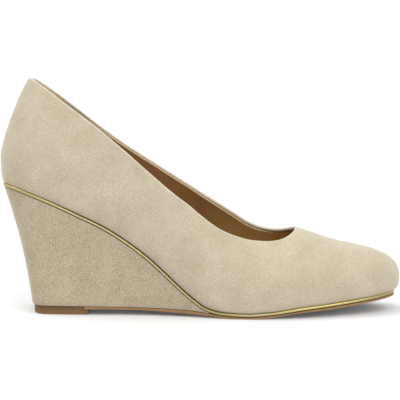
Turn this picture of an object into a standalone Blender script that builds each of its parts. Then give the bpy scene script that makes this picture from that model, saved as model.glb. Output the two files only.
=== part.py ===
"""Women's wedge court shoe, right foot: suede upper, covered wedge heel, piped joint, thin outsole.

The tables are in millimetres. A station is a distance along the floor from the back of the heel.
In the model +X runs to the toe, +Z up and +Y to the inner side, where the big toe is. The origin
is on the floor under the middle of the shoe.
"""
from collections import namedtuple

import bmesh
import bpy
import numpy as np

MM = 0.001

# Driving sizes
CENTRE = 120.3              # station over the origin, midway between counter and toe
AXIS_OFFSET = 0.4           # the axis lies this far to the outer side, to centre the widths
UPPER_WALL = 1.8            # suede and lining together
GAP = 0.3                   # between pieces that meet
PIPING_RADIUS = 0.9
PIPING_INSET = 0.4          # piping centre inside the feather line
INSOLE_INSET = PIPING_INSET + PIPING_RADIUS + GAP
SOLE_MARGIN = 0.5           # outsole edge outside the feather line under the forefoot
LIFT_INSET = 1.3            # top lift edge inside the wedge's foot

# Plan landmarks, as stations
HEEL_CENTRE = 30.0          # sections fan round this point at the back
TOE_CENTRE = 205.0          # and round this one at the front
THROAT_START = 158.0        # from here the topline turns across the instep
THROAT = 176.0              # front of the opening, on the ridge of the vamp
THROAT_ROUNDNESS = 2.1
THROAT_START_FOOT = 164.0   # feather line stations under the two ends of the throat's curve
THROAT_FOOT = 192.0
WEDGE_TIP = 126.0
FOREFOOT_START = 129.0      # from here the outsole lies against the piping
SOLE_BACK = 52.0
LIFT_STEP = 51.7            # back of the step that takes the end of the outsole
LIFT_FRONT = 54.2
LIFT_STEP_SLANT = 0.05
LIFT_STEP_CLEAR = 2.0       # no other point of the lift's edge lies closer behind the step

# Wedge heel
WEDGE_HOLLOW = 0.1          # inward bow of its back and sides, as a share of their slope
FOOT_BACK = 19.9            # back of the wedge's foot
FOOT_CENTRE = 36.5          # the foot's squarish back is drawn round this station
FOOT_SQUARENESS = 3.7

# How finely the solids are cut
HEEL_FAN_COLUMNS = 9
QUARTER_COLUMNS = 15
THROAT_COLUMNS = 7
VAMP_COLUMNS = 5
TOE_FAN_COLUMNS = 9
UPPER_ROWS = 12
SEAT_COLUMNS = 24           # heel centre to wedge tip, on wedge and insole
FOREFOOT_COLUMNS = 15       # wedge tip to toe centre, on outsole and insole
SOLE_WAIST_COLUMNS = 14     # top lift to wedge tip, on the outsole
WEDGE_LEVELS = 6
PIPING_SIDE_POINTS = 52
SECTION_STEPS = 240         # fine points that a section of the last is measured on
FEATHER_STEPS = 4000        # fine points that stations are found on along the feather line
MERGE_DISTANCE = 1e-6       # metres

# Feather line in plan: half widths from the shoe's axis at the joint of upper and sole
Feather = namedtuple("Feather", "station outer inner")
FEATHER = (
    Feather(2.6, 0.0, 0.0),         # back of the heel
    Feather(9.0, 14.5, 14.0),
    Feather(21.0, 23.0, 22.5),
    Feather(40.0, 26.5, 26.0),      # heel seat
    Feather(65.0, 27.0, 25.5),
    Feather(90.0, 27.5, 24.0),      # waist
    Feather(115.0, 31.0, 28.0),
    Feather(140.0, 36.5, 35.0),
    Feather(158.0, 37.0, 37.6),     # ball
    Feather(178.0, 34.2, 37.3),
    Feather(198.0, 28.0, 34.0),
    Feather(216.0, 20.0, 28.0),
    Feather(229.0, 11.0, 20.0),
    Feather(237.0, -4.5, 4.5),      # tip of the toe, on the big toe's side of the axis
)

# Side view of the joint, through the centre of the piping
Joint = namedtuple("Joint", "station height")
JOINT = (
    Joint(2.6, 75.0),
    Joint(10.0, 74.2),
    Joint(20.0, 71.3),
    Joint(34.0, 66.0),
    Joint(49.0, 59.1),
    Joint(63.0, 52.2),
    Joint(77.0, 43.3),
    Joint(91.0, 32.3),
    Joint(100.0, 23.8),
    Joint(109.5, 15.0),
    Joint(117.0, 9.2),
    Joint(123.5, 5.4),
    Joint(133.0, 3.4),
    Joint(147.0, 2.5),
    Joint(161.0, 3.5),
    Joint(179.0, 5.8),
    Joint(198.0, 7.7),
    Joint(218.0, 9.5),
    Joint(237.0, 10.8),
)

# Ridge of the last and how far it lies to the inner side. Behind the throat it is the last's own
# cone, which the opening cuts away.
Crown = namedtuple("Crown", "station height inward")
CROWN = (
    Crown(0.0, 155.0, 0.0),
    Crown(30.0, 155.0, 0.0),
    Crown(45.0, 160.0, 0.0),
    Crown(75.0, 160.0, 0.5),
    Crown(110.0, 108.0, 3.0),
    Crown(130.0, 78.0, 5.0),
    Crown(142.0, 66.0, 5.0),
    Crown(158.0, 56.0, 4.5),
    Crown(176.0, 49.8, 4.5),
    Crown(187.0, 46.2, 4.5),
    Crown(198.0, 42.5, 4.5),
    Crown(209.0, 39.8, 4.5),
    Crown(220.0, 38.0, 4.5),
    Crown(240.0, 34.2, 4.5),
)

# Shape of the wall: how far it swells past the feather line, how high up, and how square it is
Wall = namedtuple("Wall", "station swell swell_height fullness")
WALL = (
    Wall(2.6, 2.4, 13.0, 1.33),
    Wall(21.0, 2.5, 12.5, 1.47),
    Wall(40.0, 2.5, 12.0, 1.7),
    Wall(75.0, 1.8, 12.0, 2.0),
    Wall(115.0, 1.8, 11.0, 1.95),
    Wall(145.0, 2.4, 10.0, 1.85),
    Wall(176.0, 2.8, 9.5, 2.0),
    Wall(200.0, 3.0, 8.5, 2.25),
    Wall(220.0, 3.3, 7.0, 2.8),
    Wall(237.0, 3.4, 5.6, 3.4),
)

# Topline in side view. The inner side stands higher along the arch of the foot.
Topline = namedtuple("Topline", "station outer inner")
TOPLINE = (
    Topline(15.0, 137.3, 137.3),
    Topline(19.0, 137.0, 137.0),
    Topline(24.5, 135.0, 134.7),
    Topline(30.0, 131.9, 131.2),
    Topline(45.0, 121.6, 119.8),
    Topline(60.0, 110.2, 108.0),
    Topline(75.0, 98.1, 97.3),
    Topline(90.0, 84.9, 87.2),
    Topline(105.0, 72.2, 78.0),
    Topline(120.0, 60.1, 68.8),
    Topline(132.0, 51.6, 61.2),
    Topline(142.0, 47.1, 55.2),
    Topline(150.0, 45.2, 50.2),
    Topline(158.0, 44.6, 46.3),
)

# How far the wedge's foot stands in from the feather line above it
Narrowing = namedtuple("Narrowing", "station inset")
NARROWING = (
    Narrowing(36.5, 1.8),
    Narrowing(60.0, 1.8),
    Narrowing(90.0, 1.2),
    Narrowing(126.0, 0.0),
)

# Under side of the wedge, and the tread of the outsole with its flat under the ball
Underside = namedtuple("Underside", "station height")
WEDGE_FOOT = (
    Underside(17.0, 5.3),
    Underside(60.0, 5.0),
    Underside(110.0, 4.0),
    Underside(128.0, 2.6),
)
TREAD = (
    Underside(50.0, 3.2),
    Underside(80.0, 3.2),
    Underside(105.0, 2.0),
    Underside(122.0, 1.2),
    Underside(136.0, 0.0),
    Underside(154.0, 0.0),
    Underside(170.0, 1.9),
    Underside(180.0, 3.2),
    Underside(198.0, 4.6),
    Underside(218.0, 6.8),
    Underside(238.0, 8.8),
)

# Colour, roughness and metallic value of each piece
Finish = namedtuple("Finish", "colour roughness metallic")
FINISHES = {
    "upper": Finish((0.60, 0.51, 0.36), 0.95, 0.0),
    "wedge": Finish((0.52, 0.42, 0.27), 0.95, 0.0),
    "piping": Finish((0.78, 0.62, 0.25), 0.30, 1.0),
    "outsole": Finish((0.31, 0.18, 0.08), 0.60, 0.0),
    "top_lift": Finish((0.22, 0.12, 0.05), 0.55, 0.0),
    "insole": Finish((0.15, 0.06, 0.02), 0.50, 0.0),
}


def hermite(knots, values, slopes, at):
    """Cubic through the values at the knots, with the given slopes there."""
    index = np.clip(np.searchsorted(knots, at, side="right") - 1, 0, len(knots) - 2)
    step = knots[index + 1] - knots[index]
    share = (at - knots[index]) / step
    left, right = 1.0 - share, share
    return (values[index] * left ** 2 * (1 + 2 * share) + values[index + 1] * right ** 2 * (3 - 2 * share)
            + step * (slopes[index] * share * left ** 2 - slopes[index + 1] * left * share ** 2))


def profile(rows, column="height"):
    """One column of a table as a smooth curve along the stations, with no overshoot."""
    stations = np.array([row.station for row in rows])
    values = np.array([getattr(row, column) for row in rows])
    step = np.diff(stations)
    rise = np.diff(values) / step
    slopes = np.concatenate(([rise[0]], np.zeros(len(rise) - 1), [rise[-1]]))
    for i in range(1, len(rise)):
        if rise[i - 1] * rise[i] > 0:
            before, after = step[i] * 2 + step[i - 1], step[i] + step[i - 1] * 2
            slopes[i] = (before + after) / (before / rise[i - 1] + after / rise[i])
    return lambda at: hermite(stations, values, slopes, np.clip(at, stations[0], stations[-1]))


joint = profile(JOINT)
crown = profile(CROWN)
ridge = profile(CROWN, "inward")
swell = profile(WALL, "swell")
swell_height = profile(WALL, "swell_height")
fullness = profile(WALL, "fullness")
topline = {-1: profile(TOPLINE, "outer"), 1: profile(TOPLINE, "inner")}
narrowing = profile(NARROWING, "inset")
wedge_foot = profile(WEDGE_FOOT)
tread = profile(TREAD)


def above_joint(station, distance):
    """Height of a surface that runs at a distance above the joint, square to its slope."""
    slope = joint(station + 0.5) - joint(station - 0.5)
    return joint(station) + distance * np.sqrt(1.0 + slope ** 2)


def feather_loop():
    """Closed smooth curve through the feather line, outer side first, as a function of 0 to 1."""
    middle = FEATHER[1:-1]
    loop = [(FEATHER[0].station, 0.0)]
    loop += [(row.station, -row.outer) for row in middle]
    loop += [(FEATHER[-1].station, FEATHER[-1].inner)]
    loop += [(row.station, row.inner) for row in reversed(middle)]
    points = np.array(loop)
    half = np.array([(row.station, (row.outer + row.inner) / 2) for row in FEATHER])
    steps = np.linalg.norm(np.diff(half, axis=0), axis=1)
    steps = np.concatenate((steps, steps[::-1]))
    count = len(points)
    chord = (np.roll(points, -1, axis=0) - points) / steps[:, None]
    matrix = np.zeros((count, count))
    right_side = np.zeros((count, 2))
    for i in range(count):
        before, after = steps[i - 1], steps[i]
        matrix[i, i - 1] += after
        matrix[i, i] += 2 * (before + after)
        matrix[i, (i + 1) % count] += before
        right_side[i] = 3 * (after * chord[i - 1] + before * chord[i])
    slopes = np.linalg.solve(matrix, right_side)
    knots = np.concatenate(([0.0], np.cumsum(steps)))
    points = np.vstack((points, points[:1]))
    slopes = np.vstack((slopes, slopes[:1]))

    def at(share):
        where = np.asarray(share) * knots[-1]
        return np.stack([hermite(knots, points[:, k], slopes[:, k], where) for k in (0, 1)], axis=-1)
    return at


feather = feather_loop()
FINE_SHARES = np.linspace(0.0, 0.5, FEATHER_STEPS)
FINE_STATIONS = feather(FINE_SHARES)[:, 0]


def share_at(station):
    """Where on the outer half of the feather loop a station lies. The inner half mirrors it."""
    return np.interp(station, FINE_STATIONS, FINE_SHARES)


def both_sides(shares):
    """Feather points from heel to toe on the outer side, then back along the inner side."""
    return np.vstack((feather(shares), feather(1.0 - shares[::-1])))


def fan(start, end, count):
    """Shares spread over a stretch of the loop, half a step in from both its ends."""
    return start + (end - start) * (np.arange(count) + 0.5) / count


def inset(points, distance):
    """Closed plan outline, moved square to itself towards its inside."""
    along = np.roll(points, -1, axis=0) - np.roll(points, 1, axis=0)
    along /= np.linalg.norm(along, axis=1)[:, None]
    inward = np.stack((-along[:, 1], along[:, 0]), axis=1)
    return points + inward * distance


def last_section(share):
    """Fine points up one section of the last: the wall swells, then closes over to the ridge.

    Each row is station, distance across and height, from the feather line up.
    """
    foot = feather(share)
    station = foot[0]
    middle = np.clip(station, HEEL_CENTRE, TOE_CENTRE)
    centre = np.array((middle, ridge(middle)))
    reach = np.linalg.norm(foot - centre)
    direction = (foot - centre) / reach
    low = above_joint(station, PIPING_RADIUS + GAP)
    rise = np.linspace(0.0, 1.0, SECTION_STEPS // 4, endpoint=False)
    wall = centre + np.outer(reach + swell(station) * np.sqrt(1.0 - (1.0 - rise) ** 2), direction)
    wall = np.column_stack((wall, low + swell_height(station) * rise))
    turn = np.linspace(0.0, np.pi / 2, SECTION_STEPS)
    power = 2.0 / fullness(station)
    over = centre + np.outer((reach + swell(station)) * np.cos(turn).clip(0.0) ** power, direction)
    over[-1] = centre
    widest = low + swell_height(station)
    over = np.column_stack((over, widest + (crown(over[:, 0]) - widest) * np.sin(turn) ** power))
    return np.vstack((wall, over))


def section_on(share, side):
    """Section of one side, at a place on the outer half of the loop or at its mirror."""
    return last_section(share if side < 0 else 1.0 - share)


def running_length(points):
    """Length along a line of points, as a share of the whole."""
    length = np.concatenate(([0.0], np.cumsum(np.linalg.norm(np.diff(points, axis=0), axis=1))))
    return length / length[-1]


def throat_half_width(side):
    """Distance from the ridge to the topline where that starts to turn across the instep."""
    section = section_on(share_at(THROAT_START), side)
    across = np.interp(topline[side](THROAT_START), section[:, 2], section[:, 1])
    return abs(across - ridge(THROAT_START))


THROAT_HALF_WIDTH = {side: throat_half_width(side) for side in (-1, 1)}


def opening_height(section, side):
    """How far up a section the opening starts, as a share of the section's length."""
    station = section[0, 0]
    if station >= THROAT:
        return 1.0
    if station < THROAT_START:
        reached = section[:, 2] - topline[side](section[:, 0])
    else:
        turn = (station - THROAT_START) / (THROAT - THROAT_START)
        edge = (1.0 - turn ** THROAT_ROUNDNESS) ** (1.0 / THROAT_ROUNDNESS)
        reached = THROAT_HALF_WIDTH[side] * edge - np.abs(section[:, 1] - ridge(station))
    above = int(np.argmax(reached > 0))
    length = running_length(section)[above - 1:above + 1]
    return np.interp(0.0, reached[above - 1:above + 1], length)


def upper_columns():
    """Where each column of the upper starts on the feather loop, and the station where it ends.

    Round the throat the columns lean back, so that they meet its curved edge evenly.
    """
    heel, toe = share_at(HEEL_CENTRE), share_at(TOE_CENTRE)
    back = fan(0.0, heel, HEEL_FAN_COLUMNS)
    quarter = np.linspace(HEEL_CENTRE, THROAT_START, QUARTER_COLUMNS, endpoint=False)
    lean = ((quarter - HEEL_CENTRE) / (THROAT_START - HEEL_CENTRE)) ** 3
    turn = np.linspace(0.0, 1.0, THROAT_COLUMNS, endpoint=False)
    vamp = np.linspace(0.0, 1.0, VAMP_COLUMNS, endpoint=False)
    front = fan(toe, 0.5, TOE_FAN_COLUMNS)
    feet = np.concatenate((quarter + (THROAT_START_FOOT - THROAT_START) * lean,
                           THROAT_START_FOOT + (THROAT_FOOT - THROAT_START_FOOT) * turn,
                           THROAT_FOOT + (TOE_CENTRE - THROAT_FOOT) * vamp))
    ends = np.concatenate((quarter,
                           THROAT_START + (THROAT - THROAT_START) * np.sin(turn * np.pi / 2),
                           THROAT + (TOE_CENTRE - THROAT) * vamp))
    starts = np.concatenate((back, share_at(feet), front))
    ends = np.concatenate((feather(back)[:, 0], ends, feather(front)[:, 0]))
    return starts, ends


def upper_column(start, end, side):
    """Points up the upper's outer face, from the feather line to the topline or the ridge."""
    first = feather(start)[0]
    top = opening_height(section_on(share_at(end), side), side)
    column = []
    for climb in np.linspace(0.0, 1.0, UPPER_ROWS + 1):
        section = section_on(share_at(first + (end - first) * climb), side)
        length = running_length(section)
        column.append([np.interp(top * climb, length, section[:, k]) for k in range(3)])
    return column


def model_points(points):
    """Table coordinates as metres in the model's frame."""
    return (np.asarray(points) - np.array((CENTRE, AXIS_OFFSET, 0.0))) * MM


def finish_of(name):
    """The piece's own material."""
    finish = FINISHES[name]
    material = bpy.data.materials.new(name)
    material.use_nodes = True
    shader = material.node_tree.nodes["Principled BSDF"]
    shader.inputs["Base Color"].default_value = (*finish.colour, 1.0)
    shader.inputs["Roughness"].default_value = finish.roughness
    shader.inputs["Metallic"].default_value = finish.metallic
    return material


def add_object(name, mesh_or_curve):
    """Put a piece into the scene with its material."""
    piece = bpy.data.objects.new(name, mesh_or_curve)
    mesh_or_curve.materials.append(finish_of(name))
    bpy.context.scene.collection.objects.link(piece)
    return piece


def mesh_from(name, points, faces, crease_angle):
    """Closed or open mesh with merged points and outward faces."""
    mesh = bpy.data.meshes.new(name)
    mesh.from_pydata([tuple(point) for point in points], [], faces)
    work = bmesh.new()
    work.from_mesh(mesh)
    bmesh.ops.remove_doubles(work, verts=work.verts, dist=MERGE_DISTANCE)
    bmesh.ops.recalc_face_normals(work, faces=work.faces)
    work.to_mesh(mesh)
    work.free()
    mesh.shade_smooth()
    mesh.set_sharp_from_angle(angle=np.radians(crease_angle))
    return mesh


def layered_solid(name, rings):
    """Closed solid from rings of points, lowest first, whose two sides pair up from heel to toe."""
    count = len(rings[0])
    faces = []
    for level in range(len(rings) - 1):
        low, high = level * count, (level + 1) * count
        for i in range(count):
            j = (i + 1) % count
            faces.append((low + i, low + j, high + j, high + i))
    top = (len(rings) - 1) * count
    for i in range(count // 2 - 1):
        pair = (i, i + 1, count - 2 - i, count - 1 - i)
        faces.append(pair[::-1])
        faces.append(tuple(top + k for k in pair))
    points = model_points(np.vstack(rings))
    return add_object(name, mesh_from(name, points, faces, crease_angle=35.0))


def ring(plan, heights):
    """Plan outline with a height at each point."""
    return np.column_stack((plan, heights))


def build_upper():
    """Outer face of the last between feather line and opening, with its wall to the inside."""
    starts, ends = upper_columns()
    columns = [upper_column(*place, -1) for place in zip(starts, ends)]
    columns += [upper_column(*place, 1) for place in zip(starts[::-1], ends[::-1])]
    height = UPPER_ROWS + 1
    faces = []
    for i in range(len(columns)):
        j = (i + 1) % len(columns)
        for row in range(UPPER_ROWS):
            faces.append((i * height + row, j * height + row, j * height + row + 1, i * height + row + 1))
    mesh = mesh_from("upper", model_points(np.vstack(columns)), faces, crease_angle=60.0)
    wall = add_object("upper", mesh).modifiers.new("wall", "SOLIDIFY")
    wall.thickness = UPPER_WALL * MM
    wall.offset = -1.0
    wall.use_even_offset = True


def build_piping():
    """Cord laid along the joint, all round the shoe."""
    plan = inset(both_sides(fan(0.0, 0.5, PIPING_SIDE_POINTS)), PIPING_INSET)
    route = model_points(ring(plan, joint(plan[:, 0])))
    curve = bpy.data.curves.new("piping", "CURVE")
    curve.dimensions = "3D"
    curve.bevel_depth = PIPING_RADIUS * MM
    curve.bevel_resolution = 2
    spline = curve.splines.new("POLY")
    spline.points.add(len(route) - 1)
    spline.points.foreach_set("co", np.column_stack((route, np.ones(len(route)))).ravel())
    spline.use_cyclic_u = True
    add_object("piping", curve)


def wedge_shares():
    """Where the columns over the wedge stand on the feather loop."""
    heel = share_at(HEEL_CENTRE)
    return np.concatenate((fan(0.0, heel, HEEL_FAN_COLUMNS),
                           np.linspace(heel, share_at(WEDGE_TIP), SEAT_COLUMNS)))


def forefoot_shares():
    """Where the columns in front of the wedge stand on the feather loop."""
    toe = share_at(TOE_CENTRE)
    return np.concatenate((np.linspace(share_at(FOREFOOT_START), toe, FOREFOOT_COLUMNS),
                           fan(toe, 0.5, TOE_FAN_COLUMNS)))


def foot_half_width(side, station):
    """Half width of the wedge's foot at a station."""
    share = share_at(station)
    return np.abs(feather(share if side < 0 else 1.0 - share)[..., 1]) - narrowing(station)


def wedge_foot_side(side):
    """Plan of the wedge's foot on one side: a squarish back, then the feather line's own curve."""
    turn = fan(0.0, np.pi / 2, HEEL_FAN_COLUMNS)
    power = 2.0 / FOOT_SQUARENESS
    back = np.column_stack((FOOT_CENTRE - (FOOT_CENTRE - FOOT_BACK) * np.cos(turn) ** power,
                            foot_half_width(side, FOOT_CENTRE) * np.sin(turn) ** power))
    along = feather(wedge_shares()[HEEL_FAN_COLUMNS:])[:, 0]
    shift = ((WEDGE_TIP - along) / (WEDGE_TIP - HEEL_CENTRE)) ** 2
    along = along + (FOOT_CENTRE - HEEL_CENTRE) * shift
    foot = np.vstack((back, np.column_stack((along, foot_half_width(side, along)))))
    return foot * (1.0, side)


def wedge_plan(level):
    """Plan outline of the wedge at a level, 0 at the feather line and 1 at its foot."""
    top = both_sides(wedge_shares())
    foot = np.vstack((wedge_foot_side(-1), wedge_foot_side(1)[::-1]))
    return top + (foot - top) * (level + WEDGE_HOLLOW * np.sin(np.pi * level))


def build_wedge():
    """Covered wedge heel between the feather line and its foot."""
    top = above_joint(wedge_plan(0.0)[:, 0], -PIPING_RADIUS - GAP)
    foot = wedge_foot(wedge_plan(1.0)[:, 0])
    rings = []
    for level in np.linspace(1.0, 0.0, WEDGE_LEVELS):
        rings.append(ring(wedge_plan(level), top + (foot - top) * level))
    layered_solid("wedge", rings)


def build_outsole():
    """Thin sole: as wide as the wedge's foot behind its tip, and as the feather line in front."""
    behind = np.linspace(SOLE_BACK, WEDGE_TIP, SOLE_WAIST_COLUMNS)
    outer = np.column_stack((behind, -foot_half_width(-1, behind)))
    inner = np.column_stack((behind, foot_half_width(1, behind)))
    front = both_sides(forefoot_shares())
    front[1:-1] = inset(front, -SOLE_MARGIN)[1:-1]
    plan = np.vstack((outer, front, inner[::-1]))
    station = plan[:, 0]
    top = np.where(station <= WEDGE_TIP, wedge_foot(station) - GAP,
                   above_joint(station, -PIPING_RADIUS - GAP))
    layered_solid("outsole", [ring(plan, tread(station)), ring(plan, top)])


def build_top_lift():
    """Lift under the back of the wedge, stepped at its front edge for the end of the outsole."""
    foot = inset(wedge_plan(1.0), LIFT_INSET)
    outer = foot[:len(foot) // 2]
    outer = outer[outer[:, 0] < LIFT_STEP - LIFT_STEP_CLEAR]
    inner = foot[len(foot) // 2:][::-1][:len(outer)]
    step = np.array((LIFT_STEP - LIFT_STEP_SLANT, LIFT_STEP, LIFT_FRONT))
    front = {side: np.column_stack((step, side * (foot_half_width(side, step) - LIFT_INSET)))
             for side in (-1, 1)}
    plan = np.vstack((outer, front[-1], front[1][::-1], inner[::-1]))
    top = np.where(plan[:, 0] < LIFT_STEP, wedge_foot(plan[:, 0]), tread(plan[:, 0])) - GAP
    layered_solid("top_lift", [ring(plan, np.zeros(len(plan))), ring(plan, top)])


def build_insole():
    """Insole board inside the piping, under the lower edge of the upper."""
    plan = inset(both_sides(np.concatenate((wedge_shares(), forefoot_shares()))), INSOLE_INSET)
    layered_solid("insole", [ring(plan, above_joint(plan[:, 0], -PIPING_RADIUS)),
                             ring(plan, above_joint(plan[:, 0], PIPING_RADIUS))])


for leftover in list(bpy.data.objects):
    bpy.data.objects.remove(leftover, do_unlink=True)

build_upper()
build_piping()
build_wedge()
build_outsole()
build_top_lift()
build_insole()
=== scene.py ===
from collections import namedtuple

import bmesh
import bpy
import numpy as np
from mathutils import Matrix


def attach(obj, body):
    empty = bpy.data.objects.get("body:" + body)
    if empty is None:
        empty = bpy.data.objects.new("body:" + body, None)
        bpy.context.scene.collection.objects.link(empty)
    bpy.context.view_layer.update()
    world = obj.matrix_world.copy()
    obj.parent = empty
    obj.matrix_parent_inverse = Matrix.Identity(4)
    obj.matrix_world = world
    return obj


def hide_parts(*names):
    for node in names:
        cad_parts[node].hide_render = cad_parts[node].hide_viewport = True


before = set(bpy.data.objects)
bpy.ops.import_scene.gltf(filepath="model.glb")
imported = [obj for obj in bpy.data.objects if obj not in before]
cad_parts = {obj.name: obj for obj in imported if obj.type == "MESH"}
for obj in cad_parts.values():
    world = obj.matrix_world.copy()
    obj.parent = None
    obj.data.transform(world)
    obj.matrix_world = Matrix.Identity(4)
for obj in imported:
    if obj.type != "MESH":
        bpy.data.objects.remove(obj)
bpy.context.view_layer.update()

# Insole: a thin board with a brown leather sock glued on, laid on the last's bottom before anything
# else. Its edge runs inside the feather line, the closed curve where upper and sole meet. Sizes are
# in millimetres, and a station is a distance along the floor from the back of the heel.
MM = 0.001
CENTRE = 120.3
AXIS_OFFSET = 0.4
HEEL_CENTRE = 30.0
TOE_CENTRE = 205.0
WEDGE_TIP = 126.0
FOREFOOT_START = 129.0
GAP = 0.3
PIPING_RADIUS = 0.9
PIPING_INSET = 0.4
INSOLE_INSET = PIPING_INSET + PIPING_RADIUS + GAP
HEEL_FAN_COLUMNS = 26
SEAT_COLUMNS = 80
FOREFOOT_COLUMNS = 56
TOE_FAN_COLUMNS = 34
LOOP_SAMPLES = 4000
MERGE_DISTANCE = 1e-6
COLOUR = "NodeSocketColor"
NUMBER = "NodeSocketFloat"
NO_TINT = (1.0, 1.0, 1.0, 1.0)
TINT_PLACES = (0.0, 0.047)
CELL_WALL = 0.25
CLOUD_SHARE = 0.75
SOCK_LIGHT = (0.360, 0.175, 0.060, 1.0)
SOCK_DARK = (0.270, 0.126, 0.040, 1.0)

Feather = namedtuple("Feather", "station outer inner")
FEATHER = (
    Feather(2.6, 0.0, 0.0),
    Feather(9.0, 14.5, 14.0),
    Feather(21.0, 23.0, 22.5),
    Feather(40.0, 26.5, 26.0),
    Feather(65.0, 27.0, 25.5),
    Feather(90.0, 27.5, 24.0),
    Feather(115.0, 31.0, 28.0),
    Feather(140.0, 36.5, 35.0),
    Feather(158.0, 37.0, 37.6),
    Feather(178.0, 34.2, 37.3),
    Feather(198.0, 28.0, 34.0),
    Feather(216.0, 20.0, 28.0),
    Feather(229.0, 11.0, 20.0),
    Feather(237.0, -4.5, 4.5),
)

Joint = namedtuple("Joint", "station height")
JOINT = (
    Joint(2.6, 75.3),
    Joint(10.0, 73.9),
    Joint(20.0, 70.75),
    Joint(34.0, 65.35),
    Joint(49.0, 58.55),
    Joint(63.0, 51.85),
    Joint(77.0, 43.1),
    Joint(91.0, 32.4),
    Joint(100.0, 24.2),
    Joint(109.5, 15.4),
    Joint(117.0, 9.3),
    Joint(123.5, 5.1),
    Joint(133.0, 2.8),
    Joint(147.0, 2.05),
    Joint(161.0, 3.0),
    Joint(179.0, 5.3),
    Joint(198.0, 7.1),
    Joint(218.0, 9.2),
    Joint(237.0, 11.3),
)

SockEdge = namedtuple("SockEdge", "overlap inset height")
SOCK_EDGE = (
    SockEdge(0.0, 0.0, 0.5),
    SockEdge(0.0, 0.0, 1.3),
    SockEdge(0.6, 0.0, 1.6),
    SockEdge(0.7, 0.0, 3.3),
    SockEdge(1.0, 0.0, 3.9),
    SockEdge(1.0, 0.0, 4.2),
    SockEdge(0.8, 0.0, 4.45),
    SockEdge(0.3, 0.0, 4.5),
    SockEdge(0.0, 1.0, 4.3),
    SockEdge(0.0, 3.0, 4.1),
)

Overlap = namedtuple("Overlap", "station reach")
OVERLAP = (
    Overlap(2.6, 0.9),
    Overlap(21.0, 1.4),
    Overlap(40.0, 1.9),
    Overlap(75.0, 2.1),
    Overlap(115.0, 1.8),
    Overlap(145.0, 1.45),
    Overlap(176.0, 1.55),
    Overlap(205.0, 1.85),
    Overlap(237.0, 2.1),
)


def hermite(knots, values, slopes, at):
    """Cubic through the values at the knots, with the given slopes there."""
    index = np.clip(np.searchsorted(knots, at, side="right") - 1, 0, len(knots) - 2)
    step = knots[index + 1] - knots[index]
    share = (at - knots[index]) / step
    left = 1.0 - share
    level = (values[index] * left ** 2 * (1 + 2 * share)
             + values[index + 1] * share ** 2 * (3 - 2 * share))
    bend = slopes[index] * share * left ** 2 - slopes[index + 1] * left * share ** 2
    return level + step * bend


def profile(rows, column="height"):
    """One column of a table as a smooth curve along the stations, with no overshoot."""
    stations = np.array([row.station for row in rows])
    values = np.array([getattr(row, column) for row in rows])
    step = np.diff(stations)
    rise = np.diff(values) / step
    slopes = np.concatenate(([rise[0]], np.zeros(len(rise) - 1), [rise[-1]]))
    for i in range(1, len(rise)):
        if rise[i - 1] * rise[i] > 0:
            before, after = step[i] * 2 + step[i - 1], step[i] + step[i - 1] * 2
            slopes[i] = (before + after) / (before / rise[i - 1] + after / rise[i])
    return lambda at: hermite(stations, values, slopes, np.clip(at, stations[0], stations[-1]))


joint = profile(JOINT)


def above_joint(station, distance):
    """Height of a surface that runs at a distance above the joint, square to its slope."""
    slope = joint(station + 0.5) - joint(station - 0.5)
    return joint(station) + distance * np.sqrt(1.0 + slope ** 2)


def feather_loop():
    """Closed smooth curve through the feather line, outer side first, as a function of 0 to 1."""
    middle = FEATHER[1:-1]
    loop = [(FEATHER[0].station, 0.0)]
    loop += [(row.station, -row.outer) for row in middle]
    loop += [(FEATHER[-1].station, FEATHER[-1].inner)]
    loop += [(row.station, row.inner) for row in reversed(middle)]
    points = np.array(loop)
    half = np.array([(row.station, (row.outer + row.inner) / 2) for row in FEATHER])
    steps = np.linalg.norm(np.diff(half, axis=0), axis=1)
    steps = np.concatenate((steps, steps[::-1]))
    count = len(points)
    chord = (np.roll(points, -1, axis=0) - points) / steps[:, None]
    matrix = np.zeros((count, count))
    right_side = np.zeros((count, 2))
    for i in range(count):
        before, after = steps[i - 1], steps[i]
        matrix[i, i - 1] += after
        matrix[i, i] += 2 * (before + after)
        matrix[i, (i + 1) % count] += before
        right_side[i] = 3 * (after * chord[i - 1] + before * chord[i])
    slopes = np.linalg.solve(matrix, right_side)
    knots = np.concatenate(([0.0], np.cumsum(steps)))
    points = np.vstack((points, points[:1]))
    slopes = np.vstack((slopes, slopes[:1]))

    def at(share):
        where = np.asarray(share) * knots[-1]
        return np.stack([hermite(knots, points[:, k], slopes[:, k], where) for k in (0, 1)],
                        axis=-1)
    return at


feather = feather_loop()
FINE_SHARES = np.linspace(0.0, 0.5, LOOP_SAMPLES)
FINE_STATIONS = feather(FINE_SHARES)[:, 0]


def share_at(station):
    """Where on the outer half of the feather loop a station lies. The inner half mirrors it."""
    return np.interp(station, FINE_STATIONS, FINE_SHARES)


def both_sides(shares):
    """Feather points from heel to toe on the outer side, then back along the inner side."""
    return np.vstack((feather(shares), feather(1.0 - shares[::-1])))


def fan(start, end, count):
    """Shares spread over a stretch of the loop, half a step in from both its ends."""
    return start + (end - start) * (np.arange(count) + 0.5) / count


def wedge_shares():
    """Where the columns over the wedge stand on the feather loop."""
    heel = share_at(HEEL_CENTRE)
    return np.concatenate((fan(0.0, heel, HEEL_FAN_COLUMNS),
                           np.linspace(heel, share_at(WEDGE_TIP), SEAT_COLUMNS)))


def forefoot_shares():
    """Where the columns in front of the wedge stand on the feather loop."""
    toe = share_at(TOE_CENTRE)
    return np.concatenate((np.linspace(share_at(FOREFOOT_START), toe, FOREFOOT_COLUMNS),
                           fan(toe, 0.5, TOE_FAN_COLUMNS)))


def inset(points, distance):
    """Closed plan outline, moved square to itself towards its inside."""
    along = np.roll(points, -1, axis=0) - np.roll(points, 1, axis=0)
    along /= np.linalg.norm(along, axis=1)[:, None]
    inward = np.stack((-along[:, 1], along[:, 0]), axis=1)
    return points + inward * np.reshape(distance, (-1, 1))


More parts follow.
